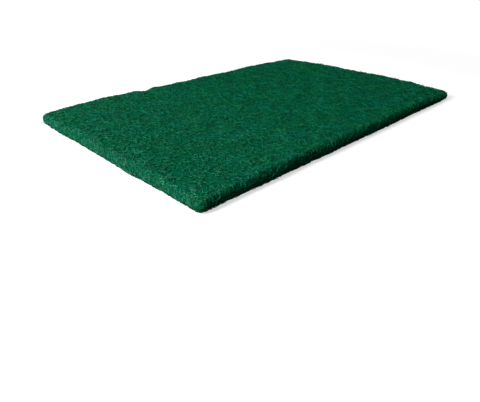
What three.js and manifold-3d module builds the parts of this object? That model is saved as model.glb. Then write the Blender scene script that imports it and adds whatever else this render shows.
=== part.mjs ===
// Nylon scouring pad: one flat slab of springy nonwoven nylon web, die-cut from a sheet.
// Millimetres. X runs along the long side, Y along the short side, and Z is up. The origin is
// under the middle of the pad, on the surface that it lies on.

import * as THREE from 'three';
import { mergeGeometries, mergeVertices } from 'three/addons/utils/BufferGeometryUtils.js';
import { ImprovedNoise } from 'three/addons/math/ImprovedNoise.js';
import Module from 'manifold-3d';

// The cut rectangle; the front is -Y
const padLength = 230;
const padWidth = 150;
const cornerRadius = { frontLeft: 2.5, frontRight: 6.5, backLeft: 4, backRight: 3 };

// Thickness: the blade packs the web down along the edges, and each corner in its own measure
const middleThickness = 7.7;
const edgeDrop = 0.4; // thinner than the middle beside a straight edge
const edgeDropReach = 14; // how far in from the edge the web is packed down
const cornerDrop = { frontLeft: 1.6, frontRight: 2.9, backLeft: 1.5, backRight: 1.5 };
const cornerDropReach = 48;

// The round nose of the edge, seen in section: a quarter ellipse above and one below its tip
const noseReach = 2.6; // from the tip in to where the faces begin
const noseTipHeight = 3.4; // the tip over the surface that the pad lies on
const noseSteps = 4;

// Loft: the web is a little uneven, in small tufts and in slow swells
const tuftHeight = 0.5;
const tuftSpacing = 8.5;
const swellHeight = 0.45;
const swellSpacing = 46;
const pressedLoft = 0.9; // what the underside would stand out by, if the surface didn't press it level

// The cut outline isn't ruler-straight either
const outlineWander = 0.7;
const outlineWanderSpacing = 40;
const outlineTuft = 0.3;

// A soft nick in the back long edge, steep on its left flank and easy on its right
const nickPlace = -41.5; // its deepest point, along X
const nickDepth = 2.6;
const nickDip = 0.35; // how far the face sinks there
const nickSteepRun = 3.5;
const nickEasyRun = 8;
const nickFade = 13; // how far in from the edge the web is drawn along with it

// The tuft beside the nick, where the web was pulled out and up
const tagPlace = -30.5; // along X
const tagReach = 1.1;
const tagRise = 0.5;
const tagRun = 7; // to each side
const tagFade = 10; // how far in from the edge the web is drawn along with it

// How finely the faces are divided
const cellSize = 3.3;

const webColour = 0x0b5539;

const noise = new ImprovedNoise();
const halfLength = padLength / 2;
const halfWidth = padWidth / 2;

// Unlike slices of one noise field
const loftSlice = 0.37;
const undersideSlice = 3.27;
const wanderSliceX = 26.16;
const wanderSliceY = 26.74;

function noiseAt(x, y, spacing, slice) {
  return noise.noise(x / spacing, y / spacing, slice);
}

// 1 at the edge, falling smoothly to 0 at the given reach in from it
function fadeFromEdge(inset, reach) {
  return 1 - THREE.MathUtils.smoothstep(inset, 0, reach);
}

// Where the lines of the net cross one direction, from -half to half: even cells over the faces,
// and closer lines on the nose that are even in angle round its section
function netLines(half) {
  const lines = [];
  for (let step = 0; step < noseSteps; step++) {
    const angle = (step / noseSteps) * (Math.PI / 2);
    lines.push(noseReach * (1 - Math.cos(angle)) - half);
  }
  const faceHalf = half - noseReach;
  const cells = Math.round((2 * faceHalf) / cellSize);
  const mirrored = lines.map((line) => -line).reverse();
  for (let cell = 0; cell <= cells; cell++) {
    lines.push(faceHalf * ((2 * cell) / cells - 1));
  }
  return [...lines, ...mirrored];
}

// How far a point of the net lies in from the outline, before its corners are rounded. The
// rounding below turns square rings into round ones, so this stays true there too.
function insetAt(x, y) {
  return Math.min(halfLength - Math.abs(x), halfWidth - Math.abs(y));
}

// The name of the corner in whose quarter of the pad a point lies
function cornerOf(x, y) {
  return (y < 0 ? 'front' : 'back') + (x < 0 ? 'Left' : 'Right');
}

// Pulls the square rings of a corner onto arcs, each corner with its own radius
function roundCorner(point) {
  const radius = cornerRadius[cornerOf(point.x, point.y)];
  const fromX = Math.abs(point.x) - (halfLength - radius);
  const fromY = Math.abs(point.y) - (halfWidth - radius);
  if (fromX <= 0 || fromY <= 0) {
    return point;
  }
  const pull = Math.max(fromX, fromY) / Math.hypot(fromX, fromY);
  point.x += Math.sign(point.x) * fromX * (pull - 1);
  point.y += Math.sign(point.y) * fromY * (pull - 1);
  return point;
}

// The nick's share of its full depth at a point of the web
function nickShare(x, y) {
  const run = x < nickPlace ? nickSteepRun : nickEasyRun;
  return fadeFromEdge(Math.abs(x - nickPlace), run) * fadeFromEdge(halfWidth - y, nickFade);
}

// The pulled tuft's share of its full reach at a point of the web
function tagShare(x, y) {
  return fadeFromEdge(Math.abs(x - tagPlace), tagRun) * fadeFromEdge(halfWidth - y, tagFade);
}

// The place in plan of a crossing of the net
function planPoint(x, y) {
  const point = roundCorner(new THREE.Vector2(x, y));
  const slow = new THREE.Vector2(
    noiseAt(x, y, outlineWanderSpacing, wanderSliceX),
    noiseAt(x, y, outlineWanderSpacing, wanderSliceY),
  );
  const quick = new THREE.Vector2(
    noiseAt(x, y, tuftSpacing, wanderSliceX),
    noiseAt(x, y, tuftSpacing, wanderSliceY),
  );
  point.addScaledVector(slow, outlineWander).addScaledVector(quick, outlineTuft);
  point.y += tagReach * tagShare(x, y) - nickDepth * nickShare(x, y);
  return point;
}

// The pad's thickness inside its nose
function thicknessAt(x, y) {
  const insetX = halfLength - Math.abs(x);
  const insetY = halfWidth - Math.abs(y);
  const edgeX = fadeFromEdge(insetX, edgeDropReach);
  const edgeY = fadeFromEdge(insetY, edgeDropReach);
  const corner = fadeFromEdge(insetX, cornerDropReach) * fadeFromEdge(insetY, cornerDropReach);
  const edge = edgeX + edgeY - edgeX * edgeY;
  const packed = edge * edgeDrop * (1 - corner) + corner * cornerDrop[cornerOf(x, y)];
  const tufts = tuftHeight * noiseAt(x, y, tuftSpacing, loftSlice);
  const swells = swellHeight * noiseAt(x, y, swellSpacing, loftSlice);
  const torn = tagRise * tagShare(x, y) - nickDip * nickShare(x, y);
  return middleThickness - packed + tufts + swells + torn;
}

// The share of its full height that the nose has reached at this inset, from 0 at its tip
function noseRise(inset) {
  const along = Math.min(inset / noseReach, 1);
  return Math.sqrt(1 - (1 - along) ** 2);
}

function upperHeight(x, y) {
  return noseTipHeight + (thicknessAt(x, y) - noseTipHeight) * noseRise(insetAt(x, y));
}

// The underside is as lofty as the top, until it is pressed level
function lowerHeight(x, y) {
  const tufts = tuftHeight * noiseAt(x, y, tuftSpacing, undersideSlice);
  return noseTipHeight - (noseTipHeight + pressedLoft + tufts) * noseRise(insetAt(x, y));
}

// One face of the pad with its half of the nose, as a net of cells
function webFace(heightAt, facesDown) {
  const columns = netLines(halfLength);
  const rows = netLines(halfWidth).reverse();
  const face = new THREE.PlaneGeometry(padLength, padWidth, columns.length - 1, rows.length - 1);
  rows.forEach((y, row) => {
    columns.forEach((x, column) => {
      const point = planPoint(x, y);
      const vertex = row * columns.length + column;
      face.attributes.position.setXYZ(vertex, point.x, point.y, heightAt(x, y));
    });
  });
  if (facesDown) {
    face.index.array.reverse();
  }
  return face;
}

// The block below the surface that the pad lies on
function levelCutter() {
  const clear = 5; // how far it stands out past the pad all round
  const depth = pressedLoft + tuftHeight + clear;
  const block = new THREE.BoxGeometry(padLength + 2 * clear, padWidth + 2 * clear, depth);
  return block.translate(0, 0, -depth / 2);
}

const wasm = await Module();
wasm.setup();

// A closed mesh, with its shared vertices merged, as a solid that can be cut
function asSolid(geometry) {
  const bare = geometry.index ? geometry.toNonIndexed() : geometry.clone();
  bare.deleteAttribute('normal');
  bare.deleteAttribute('uv');
  const merged = mergeVertices(bare);
  const mesh = new wasm.Mesh({
    numProp: 3,
    vertProperties: new Float32Array(merged.attributes.position.array),
    triVerts: new Uint32Array(merged.index.array),
  });
  return new wasm.Manifold(mesh);
}

function asGeometry(solid) {
  const mesh = solid.getMesh();
  const geometry = new THREE.BufferGeometry();
  geometry.setAttribute('position', new THREE.BufferAttribute(mesh.vertProperties, 3));
  geometry.setIndex(new THREE.BufferAttribute(mesh.triVerts, 1));
  return geometry;
}

function scouringPad() {
  const skin = mergeGeometries([webFace(upperHeight, false), webFace(lowerHeight, true)]);
  const web = asSolid(skin).subtract(asSolid(levelCutter()));
  const geometry = asGeometry(web);

  // The wander of the outline shifts the cut box a little, so it is set back round the origin
  geometry.computeBoundingBox();
  const middle = geometry.boundingBox.getCenter(new THREE.Vector3());
  geometry.translate(-middle.x, -middle.y, 0);
  geometry.computeVertexNormals();

  const material = new THREE.MeshStandardMaterial({ color: webColour, roughness: 0.85, metalness: 0 });
  const pad = new THREE.Mesh(geometry, material);
  pad.name = 'scouring_pad';
  return pad;
}

const part = new THREE.Group();
part.name = 'nylon_scouring_pad';
part.add(scouringPad());

export default part;
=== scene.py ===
# Green nylon scouring pad: a lofty web core with crimped fibres lying over and under each other on it.
# Lengths are metres, unless a name ends in Mm. X is the long side, Y the short side, Z is up.
import math

import bpy
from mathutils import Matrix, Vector


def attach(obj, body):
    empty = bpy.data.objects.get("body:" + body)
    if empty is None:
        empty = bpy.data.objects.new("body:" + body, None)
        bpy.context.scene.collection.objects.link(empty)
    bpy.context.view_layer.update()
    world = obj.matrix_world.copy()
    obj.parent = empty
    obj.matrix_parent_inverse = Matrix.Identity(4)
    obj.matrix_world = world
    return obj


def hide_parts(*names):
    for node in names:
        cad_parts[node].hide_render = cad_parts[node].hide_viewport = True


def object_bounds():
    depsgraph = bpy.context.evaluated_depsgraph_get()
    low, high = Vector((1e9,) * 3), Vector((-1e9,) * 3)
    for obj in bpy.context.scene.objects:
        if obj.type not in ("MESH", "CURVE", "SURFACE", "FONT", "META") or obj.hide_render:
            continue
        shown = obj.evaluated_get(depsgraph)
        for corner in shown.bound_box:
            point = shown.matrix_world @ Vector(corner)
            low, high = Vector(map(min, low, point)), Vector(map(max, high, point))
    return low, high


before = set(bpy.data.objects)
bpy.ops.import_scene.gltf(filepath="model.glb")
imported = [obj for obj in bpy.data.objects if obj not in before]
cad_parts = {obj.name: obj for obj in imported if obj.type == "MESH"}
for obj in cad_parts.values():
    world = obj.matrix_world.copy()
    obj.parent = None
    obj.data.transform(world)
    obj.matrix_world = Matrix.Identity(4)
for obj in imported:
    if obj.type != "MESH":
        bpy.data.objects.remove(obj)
cadLow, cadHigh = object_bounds()
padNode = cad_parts["scouring_pad"]
padMiddle = (cadLow + cadHigh) / 2
mm = 0.001
print("frame loaded")


# Small helpers for node trees

def addNode(tree, kind, inputs=None, **settings):
    node = tree.nodes.new(kind)
    for name, value in settings.items():
        setattr(node, name, value)
    for key, value in (inputs or {}).items():
        plug(tree, value, node.inputs[key])
    return node


def plug(tree, value, socket):
    # a socket is linked, and anything else becomes the socket's own value
    if isinstance(value, bpy.types.NodeSocket):
        tree.links.new(value, socket)
    else:
        socket.default_value = value


def maths(tree, operation, first, second=None, third=None):
    node = addNode(tree, "ShaderNodeMath", operation=operation)
    for place, value in enumerate((first, second, third)):
        if value is not None:
            plug(tree, value, node.inputs[place])
    return node.outputs[0]


def vectorMaths(tree, operation, first, second=None, scale=None):
    node = addNode(tree, "ShaderNodeVectorMath", operation=operation)
    for place, value in enumerate((first, second)):
        if value is not None:
            plug(tree, value, node.inputs[place])
    if scale is not None:
        plug(tree, scale, node.inputs["Scale"])
    return node.outputs["Value" if operation in ("DOT_PRODUCT", "LENGTH") else "Vector"]


def mapRange(tree, value, ends, to=(0.0, 1.0), smooth=False):
    # ends are the two values that become the two in to
    return addNode(
        tree, "ShaderNodeMapRange",
        {"Value": value, "From Min": ends[0], "From Max": ends[1], "To Min": to[0], "To Max": to[1]},
        interpolation_type="SMOOTHSTEP" if smooth else "LINEAR",
    ).outputs[0]


def heldAbove(tree, place, lowest):
    # the same place, but never lower than this height
    parts = addNode(tree, "ShaderNodeSeparateXYZ", {0: place}).outputs
    height = maths(tree, "MAXIMUM", parts[2], lowest)
    return addNode(tree, "ShaderNodeCombineXYZ", {0: parts[0], 1: parts[1], 2: height}).outputs[0]


def newTree(name, numbers):
    # numbers is {input name: (socket type, value)}; every tree takes and gives geometry
    tree = bpy.data.node_groups.new(name, "GeometryNodeTree")
    tree.interface.new_socket("Geometry", in_out="INPUT", socket_type="NodeSocketGeometry")
    tree.interface.new_socket("Geometry", in_out="OUTPUT", socket_type="NodeSocketGeometry")
    for label, (kind, value) in numbers.items():
        socket = tree.interface.new_socket(label, in_out="INPUT", socket_type=kind)
        if value is not None:
            socket.default_value = value
    return tree


def endTree(tree, geometry, material):
    smooth = addNode(tree, "GeometryNodeSetShadeSmooth", {"Geometry": geometry}).outputs[0]
    real = addNode(tree, "GeometryNodeRealizeInstances", {0: smooth}).outputs[0]
    painted = addNode(tree, "GeometryNodeSetMaterial", {"Geometry": real, "Material": material}).outputs[0]
    addNode(tree, "NodeGroupOutput", {"Geometry": painted})


def runTree(obj, tree, values, name):
    # runs the tree on obj and gives the result back as a plain mesh object
    modifier = obj.modifiers.new("nodes", "NODES")
    modifier.node_group = tree
    for item in tree.interface.items_tree:
        if item.item_type == "SOCKET" and item.in_out == "INPUT" and item.name in values:
            modifier[item.identifier] = values[item.name]
    bpy.context.view_layer.update()
    evaluated = obj.evaluated_get(bpy.context.evaluated_depsgraph_get())
    mesh = bpy.data.meshes.new_from_object(evaluated)
    obj.modifiers.remove(modifier)
    mesh.name = name
    made = bpy.data.objects.new(name, mesh)
    bpy.context.scene.collection.objects.link(made)
    return made


def triangles(obj):
    return sum(len(face.vertices) - 2 for face in obj.data.polygons)


# Camera: it stands low over the pad's front left corner

cameraPlace = {
    "at": Vector((-0.2043, -0.1893, 0.0896)),
    "looksAlong": Vector((0.6069, 0.6219, -0.4950)),
    "lensMm": 32.6,
    "sensorMm": 36.0,
    "nearest": 0.01,
    "farthest": 20,
}


def makeCamera():
    data = bpy.data.cameras.new("camera")
    data.lens = cameraPlace["lensMm"]
    data.sensor_width = cameraPlace["sensorMm"]
    data.clip_start = cameraPlace["nearest"]
    data.clip_end = cameraPlace["farthest"]
    camera = bpy.data.objects.new("camera", data)
    camera.location = cameraPlace["at"]
    camera.rotation_mode = "QUATERNION"
    camera.rotation_quaternion = cameraPlace["looksAlong"].to_track_quat("-Z", "Y")
    bpy.context.scene.collection.objects.link(camera)
    bpy.context.scene.camera = camera


makeCamera()


# Light and floor: one soft lamp from the left, a weaker one overhead, and a pale room

studio = {
    "keyAt": Vector((-0.64, 0.10, 0.37)),
    "keySize": 0.38,
    "keyPower": 8.3,
    "fillAt": Vector((-0.2, 0.1, 1.9)),
    "fillSize": 1.2,
    "fillPower": 6.5,
    "roomLight": 0.10,
    "roomWhite": 1.0,
    "floorGrey": 0.12,  # what the floor throws back at the pad
    "floorSeen": 0.62,  # its own shading as the camera sees it, and the white on top of that
    "floorWhite": 0.60,
    "whiteFromTo": (0.15, 0.33),  # the floor runs out into plain white between these two distances
    "floorSize": 6.0,
}
white = (1, 1, 1, 1)


def makeLamp(name, place, size, power):
    data = bpy.data.lights.new(name, "AREA")
    data.shape = "DISK"
    data.size = size
    data.energy = power
    lamp = bpy.data.objects.new(name, data)
    lamp.location = place
    lamp.rotation_mode = "QUATERNION"
    lamp.rotation_quaternion = (padMiddle - place).to_track_quat("-Z", "Y")
    bpy.context.scene.collection.objects.link(lamp)


def seenByCamera(tree):
    # 1 for what the camera sees straight or through something, 0 for what lights the pad
    path = addNode(tree, "ShaderNodeLightPath")
    return maths(tree, "MAXIMUM", path.outputs["Is Camera Ray"], path.outputs["Is Transmission Ray"])


def makeRoom():
    world = bpy.data.worlds.new("room")
    bpy.context.scene.world = world
    world.use_nodes = True
    tree = world.node_tree
    tree.nodes.clear()
    lit = addNode(tree, "ShaderNodeBackground", {"Color": white, "Strength": studio["roomLight"]})
    plain = addNode(tree, "ShaderNodeBackground", {"Color": white, "Strength": studio["roomWhite"]})
    mix = addNode(
        tree, "ShaderNodeMixShader", {0: seenByCamera(tree), 1: lit.outputs[0], 2: plain.outputs[0]},
    )
    addNode(tree, "ShaderNodeOutputWorld", {"Surface": mix.outputs[0]})


def makeFloor():
    half = studio["floorSize"] / 2
    mesh = bpy.data.meshes.new("floor")
    corners = [(-half, -half, 0), (half, -half, 0), (half, half, 0), (-half, half, 0)]
    mesh.from_pydata(corners, [], [(0, 1, 2, 3)])
    floor = bpy.data.objects.new("floor", mesh)
    bpy.context.scene.collection.objects.link(floor)
    material = bpy.data.materials.new("paleFloor")
    material.use_nodes = True
    tree = material.node_tree
    tree.nodes.clear()
    seen = seenByCamera(tree)
    face = addNode(tree, "ShaderNodeNewGeometry")
    distance = vectorMaths(tree, "LENGTH", face.outputs["Position"])
    away = mapRange(tree, distance, studio["whiteFromTo"], smooth=True)
    near = maths(tree, "SUBTRACT", 1.0, away)
    shading = maths(tree, "MULTIPLY_ADD", near, studio["floorSeen"], -studio["floorGrey"])
    grey = maths(tree, "MULTIPLY_ADD", seen, shading, studio["floorGrey"])
    strength = maths(tree, "MULTIPLY_ADD", away, 1 - studio["floorWhite"], studio["floorWhite"])
    matt = addNode(tree, "ShaderNodeBsdfDiffuse", {"Color": grey})
    glow = addNode(
        tree, "ShaderNodeEmission", {"Color": white, "Strength": maths(tree, "MULTIPLY", seen, strength)},
    )
    pale = addNode(tree, "ShaderNodeAddShader", {0: matt.outputs[0], 1: glow.outputs[0]})
    clear = addNode(tree, "ShaderNodeBsdfTransparent")
    sided = addNode(
        tree, "ShaderNodeMixShader",
        {0: face.outputs["Backfacing"], 1: pale.outputs[0], 2: clear.outputs[0]},
    )  # clear from below, so that the underside can be looked at
    addNode(tree, "ShaderNodeOutputMaterial", {"Surface": sided.outputs[0]})
    mesh.materials.append(material)


makeLamp("keyLamp", studio["keyAt"], studio["keySize"], studio["keyPower"])
makeLamp("fillLamp", studio["fillAt"], studio["fillSize"], studio["fillPower"])
makeRoom()
makeFloor()
bpy.context.scene.view_settings.view_transform = "Standard"
print("camera, lamps and floor made")


# Finishes: green nylon, its web painted dark with darker pits between its strands as painted shade of the
# pad's depth, and pale specks on the strands at the left end as painted glints

# the web's colours are painted shade: darker than the fibres for the shade deep in the pad, and darker
# still in its pits
webFinish = {
    "pitShade": (0.0004, 0.012, 0.005, 1),
    "body": (0.0010, 0.060, 0.026, 1),
    "strand": (0.0024, 0.115, 0.052, 1),
    "strandShare": 0.75,
    "curlMm": (1.5, 2.2, 0.8),  # the size of the curls in each layer of strands
    "curlWidth": (0.10, 0.13, 0.16),  # how thick a strand reads, as a share of the noise
    "pitMm": 1.1,
    "pitEnds": (0.36, 0.58),
    "patchMm": 9.0,
    "patchDepth": 0.2,
    "roughness": 0.72,
    "strandSmoother": 0.12,
    "bumpMm": 0.25,
    "bumpStrength": 0.8,
    "bumpPits": 0.6,
}

fibreFinish = {
    "dark": (0.0002, 0.088, 0.038, 1),
    "middle": (0.0004, 0.143, 0.062, 1),
    "light": (0.0040, 0.208, 0.104, 1),
    "toneAt": (0.05, 0.50, 0.95),  # the tones at which a strand is dark, middle and light
    "patchMm": 9.0,
    "patchShare": 0.3,  # how far slow patches shift the tone
    "gritMm": 0.35,
    "gritEnds": (0.56, 0.70),
    "gritShare": 0.55,
    "gritRougher": 0.3,
    "tintMm": 12.0,  # the size of the patches that lean to olive or to teal
    "tintEnds": (0.36, 0.64),
    "olive": (2.0, 1.0, 0.76),
    "teal": (0.2, 1.0, 1.20),
    # painted highlight: the pale colour of glints that the lamp on the left throws off the strands
    "paintedGlint": (0.1050, 0.350, 0.255, 1),
    "speckMm": 2.0,
    "speckEnds": (0.48, 0.66),
    "glintXMm": (0, -115),  # along X: painted glints lie on the strands from here to the left end
    "glintShare": 0.26,
    "rimGlintXMm": (-106, -114),  # and most of all on the rim there, which faces the lamp, and towards the front of it
    "rimGlintShare": 0.40,
    "rimGlintYMm": (60, -20),
    "rimGlintBackShare": 0.45,
    "roughness": 0.45,
    "gloss": 0.09,
}

noiseShift = {"pits": 7.0, "curls": 31.0, "tint": 53.0, "specks": 91.0}  # unlike places in one noise


def principledTree(name):
    material = bpy.data.materials.new(name)
    material.use_nodes = True
    tree = material.node_tree
    tree.nodes.clear()
    shader = addNode(tree, "ShaderNodeBsdfPrincipled")
    addNode(tree, "ShaderNodeOutputMaterial", {"Surface": shader.outputs[0]})
    return material, tree, shader


def placeInMm(tree):
    place = addNode(tree, "ShaderNodeTexCoord")
    mapping = addNode(tree, "ShaderNodeMapping", {"Vector": place.outputs["Object"]})
    mapping.inputs["Scale"].default_value = (1000, 1000, 1000)
    return mapping.outputs[0]


def noiseOf(tree, place, sizeMm, detail=2.0, roughness=0.5, shift=0.0):
    moved = vectorMaths(tree, "ADD", place, (shift, shift * 1.7, shift * 0.6)) if shift else place
    node = addNode(
        tree, "ShaderNodeTexNoise",
        {"Vector": moved, "Scale": 1 / sizeMm, "Detail": detail, "Roughness": roughness},
    )
    return node.outputs["Fac"]


def curls(tree, place, sizeMm, width, shift):
    # thin winding loops: where a smooth noise crosses its middle value
    level = noiseOf(tree, place, sizeMm, detail=0.6, shift=shift)
    away = maths(tree, "ABSOLUTE", maths(tree, "SUBTRACT", level, 0.5))
    return mapRange(tree, away, (0.0, width), to=(1.0, 0.0), smooth=True)


def mixColour(tree, share, first, second):
    node = addNode(tree, "ShaderNodeMix", data_type="RGBA")
    plug(tree, share, node.inputs[0])
    plug(tree, first, node.inputs[6])
    plug(tree, second, node.inputs[7])
    return node.outputs[2]


def mixVector(tree, share, first, second):
    node = addNode(tree, "ShaderNodeMix", data_type="VECTOR")
    plug(tree, share, node.inputs[0])
    plug(tree, first, node.inputs[4])
    plug(tree, second, node.inputs[5])
    return node.outputs[1]


def makeWebMaterial():
    material, tree, shader = principledTree("bondedWeb")
    place = placeInMm(tree)
    strands = None
    for number, (size, width) in enumerate(zip(webFinish["curlMm"], webFinish["curlWidth"])):
        layer = curls(tree, place, size, width, shift=noiseShift["curls"] * (number + 1))
        strands = layer if strands is None else maths(tree, "MAXIMUM", strands, layer)
    pits = noiseOf(tree, place, webFinish["pitMm"], detail=2.0, shift=noiseShift["pits"])
    depth = mapRange(tree, pits, webFinish["pitEnds"])
    # painted shade: the pits darkest, the rest of the web dark
    shadedGround = mixColour(tree, depth, webFinish["pitShade"], webFinish["body"])
    share = maths(tree, "MULTIPLY", strands, webFinish["strandShare"])
    base = mixColour(tree, share, shadedGround, webFinish["strand"])
    patches = noiseOf(tree, place, webFinish["patchMm"], detail=3.0, roughness=0.6)
    patchDepth = webFinish["patchDepth"]
    shade = maths(tree, "MULTIPLY_ADD", patches, 2 * patchDepth, 1 - patchDepth)
    plug(tree, vectorMaths(tree, "SCALE", base, scale=shade), shader.inputs["Base Color"])
    rough = maths(tree, "MULTIPLY_ADD", strands, -webFinish["strandSmoother"], webFinish["roughness"])
    plug(tree, rough, shader.inputs["Roughness"])
    height = maths(tree, "ADD", strands, maths(tree, "MULTIPLY", depth, webFinish["bumpPits"]))
    bump = addNode(
        tree, "ShaderNodeBump",
        {"Height": height, "Strength": webFinish["bumpStrength"], "Distance": webFinish["bumpMm"] * mm},
    )
    plug(tree, bump.outputs[0], shader.inputs["Normal"])
    shader.inputs["Specular IOR Level"].default_value = 0.0
    return material


def strandColour(tree, place, grains):
    # each strand has its own tone, shifted by slow patches, with dark grit on it
    tone = addNode(tree, "ShaderNodeAttribute", attribute_name="fibreTone").outputs["Fac"]
    patches = noiseOf(tree, place, fibreFinish["patchMm"], detail=3.0, roughness=0.6)
    patchShare = fibreFinish["patchShare"]
    mixed = maths(tree, "ADD", tone, maths(tree, "MULTIPLY_ADD", patches, patchShare, -patchShare / 2))
    ramp = addNode(tree, "ShaderNodeValToRGB", {"Fac": mixed})
    first, middle, last = fibreFinish["toneAt"]
    stops = ramp.color_ramp.elements
    stops[0].position = first
    stops[0].color = fibreFinish["dark"]
    stops[1].position = last
    stops[1].color = fibreFinish["light"]
    stops.new(middle).color = fibreFinish["middle"]
    gritty = maths(tree, "MULTIPLY", grains, fibreFinish["gritShare"])
    return mixColour(tree, gritty, ramp.outputs[0], fibreFinish["dark"])


def glintShareAt(tree, place):
    # pale specks of painted glint from the lamp on the left, more of them towards the left end and on its
    # rim
    noise = noiseOf(
        tree, place, fibreFinish["speckMm"], detail=3.0, roughness=0.7, shift=noiseShift["specks"],
    )
    specks = mapRange(tree, noise, fibreFinish["speckEnds"])
    along = addNode(tree, "ShaderNodeSeparateXYZ", {0: place}).outputs
    glinting = mapRange(tree, along[0], fibreFinish["glintXMm"], to=(0.0, fibreFinish["glintShare"]))
    rimGlint = mapRange(
        tree, along[0], fibreFinish["rimGlintXMm"], to=(0.0, fibreFinish["rimGlintShare"]), smooth=True,
    )
    towardsFront = mapRange(
        tree, along[1], fibreFinish["rimGlintYMm"], to=(fibreFinish["rimGlintBackShare"], 1.0), smooth=True,
    )
    glinting = maths(tree, "MULTIPLY_ADD", rimGlint, towardsFront, glinting)
    return maths(tree, "MULTIPLY", specks, glinting)


def makeFibreMaterial():
    material, tree, shader = principledTree("crimpedNylon")
    place = placeInMm(tree)
    grit = noiseOf(tree, place, fibreFinish["gritMm"], detail=1.0)
    grains = mapRange(tree, grit, fibreFinish["gritEnds"])
    colour = strandColour(tree, place, grains)
    lean = noiseOf(tree, place, fibreFinish["tintMm"], detail=2.0, shift=noiseShift["tint"])
    lean = mapRange(tree, lean, fibreFinish["tintEnds"])
    tint = mixVector(tree, lean, fibreFinish["olive"], fibreFinish["teal"])
    tinted = vectorMaths(tree, "MULTIPLY", colour, tint)
    # painted glints mixed into the strands' colour
    glinted = mixColour(tree, glintShareAt(tree, place), tinted, fibreFinish["paintedGlint"])
    plug(tree, glinted, shader.inputs["Base Color"])
    rough = maths(tree, "MULTIPLY_ADD", grains, fibreFinish["gritRougher"], fibreFinish["roughness"])
    plug(tree, rough, shader.inputs["Roughness"])
    shader.inputs["Specular IOR Level"].default_value = fibreFinish["gloss"]
    return material


webMaterial = makeWebMaterial()
fibreMaterial = makeFibreMaterial()
print("finishes made")


# The web core: the pad's own form, a little smaller, with the pits and knots of a nonwoven web

core = {
    "weldWithin": 0.002 * mm,
    "voxel": 1.1 * mm,
    "smoothTimes": 3,
    "smoothShare": 0.5,
    "inset": 0.35 * mm,  # room for the fibres that lie on it
    "knotHeight": 0.35 * mm,
    "knotSize": 2.0 * mm,
    "knotWidth": 0.12,  # of the noise, to each side of its middle value
    "knotGain": 4.0,
    "knotShift": 0.31,  # unlike places in one noise
    "tuftHeight": 0.15 * mm,
    "tuftSize": 6.0 * mm,
    "tuftGain": 2.0,
    "tuftShift": 0.83,
    "lowest": 0.15 * mm,
}

# Where the web stands a little higher: by how much, and along X and Y where that begins, is full,
# starts to fall and ends
lofts = [
    # along the back edge, from the left corner to the nick
    {"rise": 0.85 * mm, "x": (-0.111, -0.095, -0.052, -0.044), "y": (0.030, 0.070, 0.090, 0.100)},
    # the tuft beside the nick
    {"rise": 0.8 * mm, "x": (-0.0415, -0.0385, -0.0370, -0.0310), "y": (0.060, 0.071, 0.090, 0.100)},
    # the front right corner
    {"rise": 0.55 * mm, "x": (0.092, 0.106, 0.130, 0.140), "y": (-0.100, -0.090, -0.066, -0.035)},
]
loftFromZ = (0.002, 0.005)  # the underside stays level


def smoothStep(value, start, end):
    share = min(max((value - start) / (end - start), 0), 1)
    return share * share * (3 - 2 * share)


def hump(value, ends):
    return smoothStep(value, ends[0], ends[1]) * (1 - smoothStep(value, ends[2], ends[3]))


def loftAt(place):
    rise = sum(loft["rise"] * hump(place.x, loft["x"]) * hump(place.y, loft["y"]) for loft in lofts)
    return rise * smoothStep(place.z, *loftFromZ)


def makeGuide():
    # a closed copy of the pad's solid in small even faces, drawn in by the inset
    guide = bpy.data.objects.new("guide", padNode.data.copy())
    bpy.context.scene.collection.objects.link(guide)
    weld = guide.modifiers.new("weld", "WELD")
    weld.merge_threshold = core["weldWithin"]
    remesh = guide.modifiers.new("remesh", "REMESH")
    remesh.mode = "VOXEL"
    remesh.voxel_size = core["voxel"]
    smooth = guide.modifiers.new("smooth", "SMOOTH")
    smooth.iterations = core["smoothTimes"]
    smooth.factor = core["smoothShare"]
    inset = guide.modifiers.new("inset", "DISPLACE")
    inset.strength = -core["inset"]
    inset.mid_level = 0.0
    bpy.context.view_layer.update()
    evaluated = guide.evaluated_get(bpy.context.evaluated_depsgraph_get())
    guide.data = bpy.data.meshes.new_from_object(evaluated)
    guide.modifiers.clear()
    guide.data.materials.clear()
    for vertex in guide.data.vertices:
        vertex.co.z += loftAt(vertex.co)
    return guide


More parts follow.
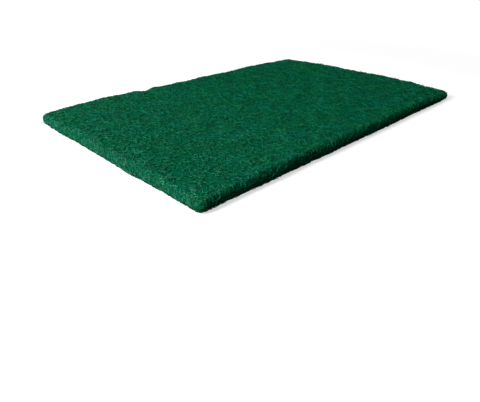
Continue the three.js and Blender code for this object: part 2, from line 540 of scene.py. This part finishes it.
def coreTree():
    tree = newTree("webRelief", {
        "Knot Height": ("NodeSocketFloat", core["knotHeight"]),
        "Knot Size": ("NodeSocketFloat", core["knotSize"]),
        "Tuft Height": ("NodeSocketFloat", core["tuftHeight"]),
        "Tuft Size": ("NodeSocketFloat", core["tuftSize"]),
        "Lowest": ("NodeSocketFloat", core["lowest"]),
        "Material": ("NodeSocketMaterial", None),
    })
    entry = addNode(tree, "NodeGroupInput").outputs
    place = addNode(tree, "GeometryNodeInputPosition").outputs[0]
    normal = addNode(tree, "GeometryNodeInputNormal").outputs[0]

    def strayFromMiddle(size, detail, shift):
        moved = vectorMaths(tree, "ADD", place, (shift, -shift, shift * 0.5))
        scale = maths(tree, "DIVIDE", 1.0, size)
        noise = addNode(tree, "ShaderNodeTexNoise", {"Vector": moved, "Scale": scale, "Detail": detail})
        return maths(tree, "SUBTRACT", noise.outputs["Fac"], 0.5)

    stray = strayFromMiddle(entry["Knot Size"], detail=2.0, shift=core["knotShift"])
    away = maths(tree, "ABSOLUTE", stray)
    knots = maths(tree, "SUBTRACT", core["knotWidth"], away)  # ridges where the noise is at its middle
    tufts = strayFromMiddle(entry["Tuft Size"], detail=1.0, shift=core["tuftShift"])
    knotRise = maths(tree, "MULTIPLY", entry["Knot Height"], core["knotGain"])
    tuftRise = maths(tree, "MULTIPLY", entry["Tuft Height"], core["tuftGain"])
    rise = maths(
        tree, "ADD", maths(tree, "MULTIPLY", knots, knotRise), maths(tree, "MULTIPLY", tufts, tuftRise),
    )
    moved = addNode(
        tree, "GeometryNodeSetPosition",
        {"Geometry": entry["Geometry"], "Offset": vectorMaths(tree, "SCALE", normal, scale=rise)},
    ).outputs[0]
    level = addNode(
        tree, "GeometryNodeSetPosition",
        {"Geometry": moved, "Position": heldAbove(tree, place, entry["Lowest"])},
    ).outputs[0]
    endTree(tree, level, entry["Material"])
    return tree


guide = makeGuide()
print("guide surface", len(guide.data.polygons), "faces")
webCore = runTree(guide, coreTree(), {"Material": webMaterial}, "webCore")
print("web core", triangles(webCore), "triangles")


# Fibres: each walks over the surface in short steps, turning as it goes, and dives in at both ends

fibres = {
    "stepLength": 0.80 * mm,
    "steps": 14,
    "turn": 0.95,  # radians, the sharpest turn in one step
    "crimp": 0.34,  # how quickly the turning changes from step to step
    "crimpEnds": (0.40, 0.60),
    "dive": 0.45 * mm,
    "arch": 0.6,  # the lower, the longer a strand stays up between its ends
    "weave": (1.6, 0.1),  # how much of its lift comes and goes, and how much is always there
    "weavePace": 1.3,
    "weaveShift": 500.0,
    "thickness": 0.12 * mm,  # radius
    "girth": (0.7, 1.35),  # the thinnest and the thickest strand, as a share of that
    "sides": 3,
    "lumpSize": 1.1 * mm,  # resin and grit gather on a strand in lumps of about this length
    "lumpShare": 0.9,
    "level": 0.45,  # on the cut edges strands run along their layers: 1 would be any way at all
    "lowest": 0.26 * mm,
    "crowding": 0.7,  # the least distance between two starts, as a share of even spacing
    "strandShift": 17.31,  # how far apart two strands lie in the noise that turns them
    "toneSeed": 5,
    "girthSeed": 9,
}

# the three top layers run lighter the higher they lie: painted shade, darker deeper in the web
layers = [
    # name, facing, fibres a square metre before crowding thins them, seed, lift, darkest and lightest tone
    {"name": "topFibresA", "facing": "up", "density": 116000, "seed": 11, "lift": 0.25 * mm,
     "tone": (0.0, 0.8)},
    {"name": "topFibresB", "facing": "up", "density": 116000, "seed": 23, "lift": 0.45 * mm,
     "tone": (0.05, 0.95)},
    {"name": "topFibresC", "facing": "up", "density": 116000, "seed": 71, "lift": 0.65 * mm,
     "tone": (0.1, 1.05)},
    {"name": "undersideFibres", "facing": "down", "density": 100000, "seed": 37, "lift": 0.30 * mm,
     "tone": (0.0, 0.9)},
    {"name": "edgeFibres", "facing": "out", "density": 820000, "seed": 53, "lift": 0.40 * mm,
     "tone": (-0.1, 1.2)},
]

facings = {"up": (0.6, 1.01), "down": (-1.01, -0.6), "out": (-0.6, 0.6)}  # the normal's Z, from and to


def fibreTree():
    # an input with no value here takes its value from each layer
    tree = newTree("crimpedFibres", {
        "Density": ("NodeSocketFloat", None),
        "Seed": ("NodeSocketInt", None),
        "Low Facing": ("NodeSocketFloat", None),
        "High Facing": ("NodeSocketFloat", None),
        "Steps": ("NodeSocketInt", fibres["steps"]),
        "Step Length": ("NodeSocketFloat", fibres["stepLength"]),
        "Turn": ("NodeSocketFloat", fibres["turn"]),
        "Crimp": ("NodeSocketFloat", fibres["crimp"]),
        "Lift": ("NodeSocketFloat", None),
        "Dive": ("NodeSocketFloat", fibres["dive"]),
        "Radius": ("NodeSocketFloat", fibres["thickness"]),
        "Sides": ("NodeSocketInt", fibres["sides"]),
        "Lump Size": ("NodeSocketFloat", fibres["lumpSize"]),
        "Lump Share": ("NodeSocketFloat", fibres["lumpShare"]),
        "Level": ("NodeSocketFloat", fibres["level"]),
        "Lowest": ("NodeSocketFloat", fibres["lowest"]),
        "Darkest": ("NodeSocketFloat", None),
        "Lightest": ("NodeSocketFloat", None),
        "Material": ("NodeSocketMaterial", None),
    })
    entry = addNode(tree, "NodeGroupInput").outputs
    surface = entry["Geometry"]
    place = addNode(tree, "GeometryNodeInputPosition").outputs[0]
    normal = addNode(tree, "GeometryNodeInputNormal").outputs[0]

    def stored(name, kind):
        return addNode(tree, "GeometryNodeInputNamedAttribute", {"Name": name}, data_type=kind).outputs[0]

    def store(geometry, name, kind, value):
        return addNode(
            tree, "GeometryNodeStoreNamedAttribute",
            {"Geometry": geometry, "Name": name, "Value": value}, data_type=kind, domain="POINT",
        ).outputs[0]

    def surfaceNormal():
        nearest = addNode(
            tree, "GeometryNodeSampleNearestSurface",
            {"Mesh": surface, "Value": normal, "Sample Position": place}, data_type="FLOAT_VECTOR",
        ).outputs[0]
        return vectorMaths(tree, "NORMALIZE", nearest)

    def randomNumber(low, high, seedShift):
        node = addNode(tree, "FunctionNodeRandomValue", data_type="FLOAT")
        plug(tree, low, node.inputs[2])
        plug(tree, high, node.inputs[3])
        plug(tree, fibreNumber, node.inputs["ID"])
        plug(tree, maths(tree, "ADD", entry["Seed"], seedShift), node.inputs["Seed"])
        return node.outputs[1]

    def noiseAlong(distance, pace):
        return addNode(
            tree, "ShaderNodeTexNoise", {"W": distance, "Scale": pace, "Detail": 0.0},
            noise_dimensions="1D",
        ).outputs["Fac"]

    # where the fibres start
    upness = addNode(tree, "ShaderNodeSeparateXYZ", {0: normal}).outputs[2]
    aboveLow = addNode(
        tree, "FunctionNodeCompare", {0: upness, 1: entry["Low Facing"]}, operation="GREATER_EQUAL",
    )
    belowHigh = addNode(
        tree, "FunctionNodeCompare", {0: upness, 1: entry["High Facing"]}, operation="LESS_EQUAL",
    )
    chosen = addNode(
        tree, "FunctionNodeBooleanMath", {0: aboveLow.outputs[0], 1: belowHigh.outputs[0]},
        operation="AND",
    ).outputs[0]
    spacing = maths(tree, "DIVIDE", fibres["crowding"], maths(tree, "SQRT", entry["Density"]))
    scattered = addNode(
        tree, "GeometryNodeDistributePointsOnFaces",
        {"Mesh": surface, "Selection": chosen, "Distance Min": spacing, "Density Max": entry["Density"],
         "Seed": entry["Seed"]},
        distribute_method="POISSON",
    ).outputs["Points"]
    number = addNode(tree, "GeometryNodeInputIndex").outputs[0]
    heads = store(scattered, "fibreNumber", "INT", number)
    fibreNumber = stored("fibreNumber", "INT")
    first = addNode(tree, "FunctionNodeRandomValue", data_type="FLOAT_VECTOR")
    first.inputs[0].default_value = (-1, -1, -1)
    first.inputs[1].default_value = (1, 1, 1)
    plug(tree, fibreNumber, first.inputs["ID"])
    plug(tree, entry["Seed"], first.inputs["Seed"])
    heads = store(heads, "heading", "FLOAT_VECTOR", first.outputs[0])
    tone = randomNumber(entry["Darkest"], entry["Lightest"], fibres["toneSeed"])
    heads = store(heads, "fibreTone", "FLOAT", tone)

    # the walk
    walkIn = addNode(tree, "GeometryNodeRepeatInput")
    walkOut = addNode(tree, "GeometryNodeRepeatOutput")
    walkIn.pair_with_output(walkOut)
    walkOut.repeat_items.new("GEOMETRY", "Trail")
    plug(tree, entry["Steps"], walkIn.inputs["Iterations"])
    plug(tree, heads, walkIn.inputs["Geometry"])
    stepNumber = walkIn.outputs["Iteration"]
    heading = stored("heading", "FLOAT_VECTOR")

    # the heading is laid into the surface and turned about its normal
    up = surfaceNormal()
    lean = addNode(tree, "ShaderNodeCombineXYZ", {0: 1.0, 1: 1.0, 2: entry["Level"]}).outputs[0]
    layered = vectorMaths(tree, "MULTIPLY", heading, lean)
    outward = vectorMaths(tree, "DOT_PRODUCT", layered, up)
    flat = vectorMaths(tree, "SUBTRACT", layered, vectorMaths(tree, "SCALE", up, scale=outward))
    flat = vectorMaths(tree, "NORMALIZE", flat)
    strand = maths(tree, "MULTIPLY_ADD", fibreNumber, fibres["strandShift"], entry["Seed"])
    along = maths(tree, "MULTIPLY_ADD", stepNumber, entry["Crimp"], strand)
    # mostly a full turn to one side or to the other, so that the strand curls
    bend = mapRange(tree, noiseAlong(along, 1.0), fibres["crimpEnds"], to=(-1.0, 1.0), smooth=True)
    angle = maths(tree, "MULTIPLY", bend, entry["Turn"])
    turned = addNode(
        tree, "ShaderNodeVectorRotate",
        {"Vector": flat, "Axis": up, "Angle": angle}, rotation_type="AXIS_ANGLE",
    ).outputs[0]
    turnedHeads = store(walkIn.outputs["Geometry"], "heading", "FLOAT_VECTOR", turned)
    stride = vectorMaths(tree, "SCALE", heading, scale=entry["Step Length"])
    moved = addNode(
        tree, "GeometryNodeSetPosition", {"Geometry": turnedHeads, "Offset": stride},
    ).outputs[0]
    nearest = addNode(
        tree, "GeometryNodeProximity", {0: surface, "Sample Position": place}, target_element="FACES",
    ).outputs["Position"]
    seated = addNode(
        tree, "GeometryNodeSetPosition", {"Geometry": moved, "Position": nearest},
    ).outputs[0]

    # the strand rides over and under its neighbours, and ends inside the web
    middleShare = maths(tree, "DIVIDE", maths(tree, "ADD", stepNumber, 0.5), entry["Steps"])
    arch = maths(tree, "SINE", maths(tree, "MULTIPLY", middleShare, math.pi))
    arch = maths(tree, "POWER", arch, fibres["arch"])
    weave = noiseAlong(maths(tree, "ADD", along, fibres["weaveShift"]), fibres["weavePace"])
    weave = maths(tree, "MULTIPLY_ADD", weave, *fibres["weave"])
    peak = maths(tree, "MULTIPLY", entry["Lift"], weave)
    depth = maths(tree, "MULTIPLY", entry["Dive"], -1.0)
    rise = maths(tree, "MULTIPLY_ADD", arch, maths(tree, "ADD", peak, entry["Dive"]), depth)
    marked = store(seated, "stepNumber", "INT", stepNumber)
    lifted = addNode(
        tree, "GeometryNodeSetPosition",
        {"Geometry": marked, "Offset": vectorMaths(tree, "SCALE", surfaceNormal(), scale=rise)},
    ).outputs[0]
    joined = addNode(tree, "GeometryNodeJoinGeometry")
    tree.links.new(lifted, joined.inputs[0])
    tree.links.new(walkIn.outputs["Trail"], joined.inputs[0])
    plug(tree, seated, walkOut.inputs["Geometry"])
    plug(tree, joined.outputs[0], walkOut.inputs["Trail"])

    # nothing goes through the surface that the pad lies on
    trail = addNode(
        tree, "GeometryNodeSetPosition",
        {"Geometry": walkOut.outputs["Trail"], "Position": heldAbove(tree, place, entry["Lowest"])},
    ).outputs[0]

    # each trail becomes a lumpy tube
    curve = addNode(
        tree, "GeometryNodePointsToCurves",
        {"Points": trail, "Curve Group ID": fibreNumber, "Weight": stored("stepNumber", "INT")},
    ).outputs[0]
    lumps = addNode(
        tree, "ShaderNodeTexNoise",
        {"Vector": place, "Scale": maths(tree, "DIVIDE", 1.0, entry["Lump Size"]), "Detail": 1.0},
    ).outputs["Fac"]
    lumpSpread = maths(tree, "MULTIPLY", entry["Lump Share"], 2.0)
    lumps = maths(tree, "MULTIPLY_ADD", maths(tree, "SUBTRACT", lumps, 0.5), lumpSpread, 1.0)
    girth = maths(tree, "MULTIPLY", randomNumber(*fibres["girth"], fibres["girthSeed"]), lumps)
    curve = addNode(tree, "GeometryNodeSetCurveRadius", {"Curve": curve, "Radius": girth}).outputs[0]
    profile = addNode(
        tree, "GeometryNodeCurvePrimitiveCircle",
        {"Resolution": entry["Sides"], "Radius": entry["Radius"]}, mode="RADIUS",
    ).outputs[0]
    radius = addNode(tree, "GeometryNodeInputRadius").outputs[0]
    tube = addNode(
        tree, "GeometryNodeCurveToMesh",
        {"Curve": curve, "Profile Curve": profile, "Scale": radius, "Fill Caps": True},
    ).outputs[0]
    endTree(tree, tube, entry["Material"])
    return tree


crimpedFibres = fibreTree()
fibrePieces = []
for layer in layers:
    low, high = facings[layer["facing"]]
    darkest, lightest = layer["tone"]
    piece = runTree(guide, crimpedFibres, {
        "Density": float(layer["density"]),
        "Seed": layer["seed"],
        "Low Facing": low,
        "High Facing": high,
        "Lift": layer["lift"],
        "Darkest": darkest,
        "Lightest": lightest,
        "Material": fibreMaterial,
    }, layer["name"])
    fibrePieces.append(piece)
    print(layer["name"], triangles(piece), "triangles")

bpy.data.objects.remove(guide)


# Everything rides on the pad's one body

for piece in [webCore, *fibrePieces]:
    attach(piece, "root")
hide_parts("scouring_pad")
